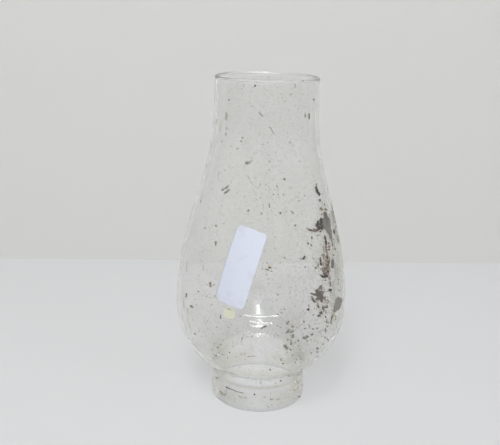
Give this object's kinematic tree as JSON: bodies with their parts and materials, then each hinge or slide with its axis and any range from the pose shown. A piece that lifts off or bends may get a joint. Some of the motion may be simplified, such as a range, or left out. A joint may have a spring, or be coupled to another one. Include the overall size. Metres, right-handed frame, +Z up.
{
  "type": "oil lamp chimney",
  "caption": "Clear blown-glass chimney for a kerosene lamp: straight fitter collar, pear-shaped bulb and tapering open neck, with a bare paper label and a round dot sticker.",
  "frame": {"origin": "centre of the foot, on the plane that the chimney stands on", "axes": "+Z up along the glass's axis from foot to rim; the label and the dot are on the -Y side, a little towards -X"},
  "size_m": [0.1332, 0.1332, 0.254],
  "materials": {
    "clear_glass": "glossy, slightly sooty inside and dusty outside",
    "label_paper": "matt",
    "dot_paper": "matt"
  },
  "bodies": {
    "root": {"glass_chimney": "clear_glass", "paper_label": "label_paper", "dot_sticker": "dot_paper"}
  },
  "joints": []
}
